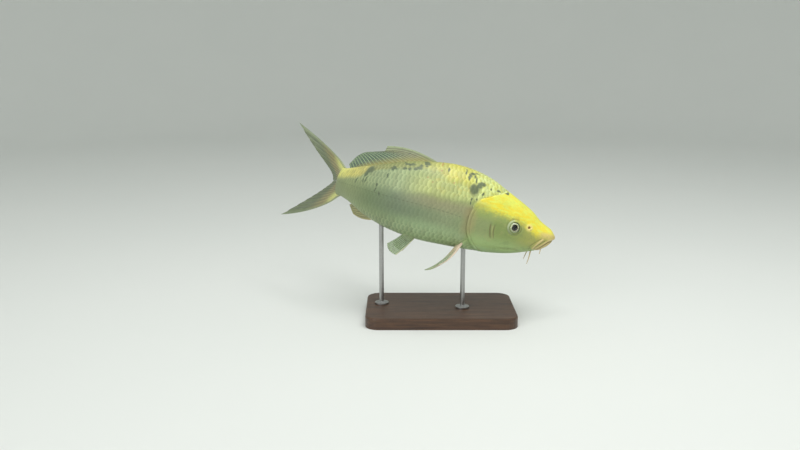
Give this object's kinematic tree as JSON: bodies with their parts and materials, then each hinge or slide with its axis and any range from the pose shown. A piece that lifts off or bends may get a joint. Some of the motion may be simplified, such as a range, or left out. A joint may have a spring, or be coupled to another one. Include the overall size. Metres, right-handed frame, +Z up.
{
  "type": "koi carp",
  "caption": "Life-size still model of a koi carp, head low and tail swept to its left, held on a plain display stand by rods.",
  "frame": {"origin": "middle of the underside of the stand's base, under the fish's middle", "axes": "+X ahead of the fish's head, +Y to the fish's left at the head, +Z up"},
  "size_m": [0.3105, 0.1856, 0.1996],
  "materials": {
    "head_skin": "wet yellow skin, smooth, olive grey below the eye",
    "cheek_skin": "wet olive grey skin over the gill plates",
    "scaled_skin": "overlapping silvery olive scales, yellow on the back, with dark grey blotches",
    "lip_skin": "soft orange pink lip skin",
    "fin_membrane": "thin rayed membrane, pale rays, nearly clear between them",
    "eye": "silvery iris round a black pupil under a clear cornea",
    "stand_wood": "dark stained, satin",
    "stand_steel": "satin"
  },
  "bodies": {
    "root": {"head": "head_skin", "lower_jaw": "lip_skin", "gill_cover_left": "cheek_skin", "gill_cover_right": "cheek_skin", "trunk": "scaled_skin", "tail_stalk": "scaled_skin", "dorsal_fin": "fin_membrane", "anal_fin": "fin_membrane", "tail_fin_upper": "fin_membrane", "tail_fin_lower": "fin_membrane", "pectoral_fin_left": "fin_membrane", "pectoral_fin_right": "fin_membrane", "pelvic_fin_left": "fin_membrane", "pelvic_fin_right": "fin_membrane", "eye_left": "eye", "eye_right": "eye", "barbel_lip_left": "lip_skin", "barbel_lip_right": "lip_skin", "barbel_corner_left": "lip_skin", "barbel_corner_right": "lip_skin", "stand_base": "stand_wood", "stand_rod_front": "stand_steel", "stand_rod_rear": "stand_steel"}
  },
  "joints": []
}
